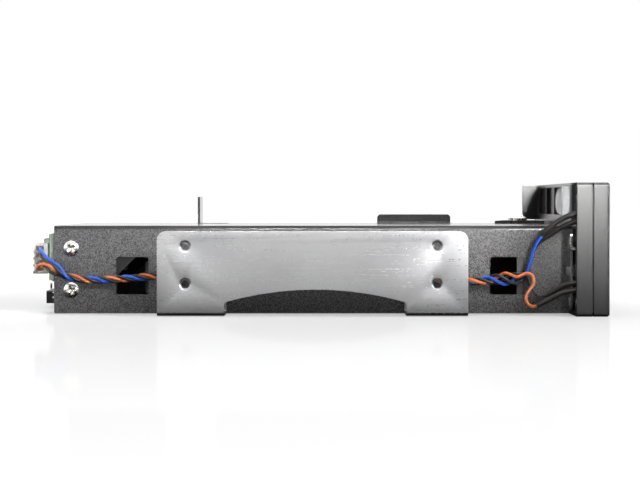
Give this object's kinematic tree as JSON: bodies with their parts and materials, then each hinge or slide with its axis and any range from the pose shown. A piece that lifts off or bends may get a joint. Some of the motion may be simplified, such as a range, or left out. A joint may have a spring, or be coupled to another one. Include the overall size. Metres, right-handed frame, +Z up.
{
  "type": "hot swap drive cage",
  "caption": "Metal cage for one 3.5-inch drive in a 5.25-inch bay, with side mounting brackets, a bezel door that works an ejector, a rear backplane and a lamp lead.",
  "frame": {"origin": "bottom centre of the whole part's box", "axes": "+X out of the front through the door, +Y to the hinge side, +Z up"},
  "size_m": [0.184, 0.1486, 0.0422],
  "materials": {
    "black_steel": "textured powder coat",
    "silver_steel": "satin zinc plate",
    "nickel": "bright nickel plate",
    "spring_steel": "drawn",
    "black_plastic": "matt",
    "bezel_plastic": "fine texture",
    "white_nylon": "smooth",
    "board_green": "solder mask",
    "gold": "gold flash",
    "can_aluminium": "satin",
    "wire_blue": "smooth PVC",
    "wire_orange": "smooth PVC",
    "wire_black": "smooth PVC",
    "shrink_sleeve": "heat-shrink tube",
    "lamp_clear": "clear epoxy"
  },
  "bodies": {
    "cage": {"cage_shell": "black_steel", "floor_plate": "black_steel", "side_bracket_left": "silver_steel", "side_bracket_right": "silver_steel", "bracket_rivets": "silver_steel", "guide_rail_left": "black_plastic", "guide_rail_right": "black_plastic", "ejector_rivets": "silver_steel", "support_bracket": "black_steel", "support_screws": "nickel", "backplane_frame": "black_steel", "wall_screws": "nickel", "backplane_board": "board_green", "board_screws": "nickel", "drive_socket": "black_plastic", "socket_contacts": "gold", "power_connector": "black_plastic", "power_contacts": "gold", "data_connector": "black_plastic", "data_contacts": "gold", "capacitors": "can_aluminium", "led_header": "white_nylon", "led_plug": "white_nylon", "bezel_frame": "bezel_plastic", "bezel_screws": "nickel", "flange_screws": "nickel", "ear_plate": "silver_steel", "bezel_clip": "white_nylon", "faceplate": "bezel_plastic", "hinge_pin_bottom": "nickel", "hinge_pin_top": "nickel", "power_led": "lamp_clear", "activity_led": "lamp_clear", "lead_bundle": "wire_black", "plug_lead_one": "wire_blue", "plug_lead_two": "wire_black", "plug_lead_three": "wire_black", "plug_lead_four": "wire_orange", "power_lead_plus": "wire_blue", "power_lead_minus": "wire_black", "activity_lead_plus": "wire_orange", "activity_lead_minus": "wire_black", "power_sleeve_plus": "shrink_sleeve", "power_sleeve_minus": "shrink_sleeve", "activity_sleeve_plus": "shrink_sleeve", "activity_sleeve_minus": "shrink_sleeve"},
    "door": {"door": "bezel_plastic", "crank_pin": "nickel", "latch_cover": "black_plastic", "cover_screws": "nickel", "latch_spring": "spring_steel"},
    "latch": {"door_latch": "black_plastic"},
    "ejector": {"ejector_slide": "silver_steel"}
  },
  "joints": [
    {"name": "door_hinge", "type": "hinge", "parent": "cage", "child": "door", "pos_m": [0.0895, 0.0592, 0.01575], "axis": [0, 0, 1], "range_deg": [0, 95]},
    {"name": "latch_slide", "type": "slide", "parent": "door", "child": "latch", "axis": [0, 1, 0], "range_m": [0, 0.0025], "stiffness_N_per_m": 200, "springref_m": -0.001, "deforming": ["latch_spring"]},
    {"name": "ejector_travel", "type": "slide", "parent": "cage", "child": "ejector", "axis": [1, 0, 0], "range_m": [0, 0.0065]}
  ],
  "couplings": [
    {"joint": "ejector_travel", "follows": "door_hinge", "m_per_rad": 0.003913}
  ]
}
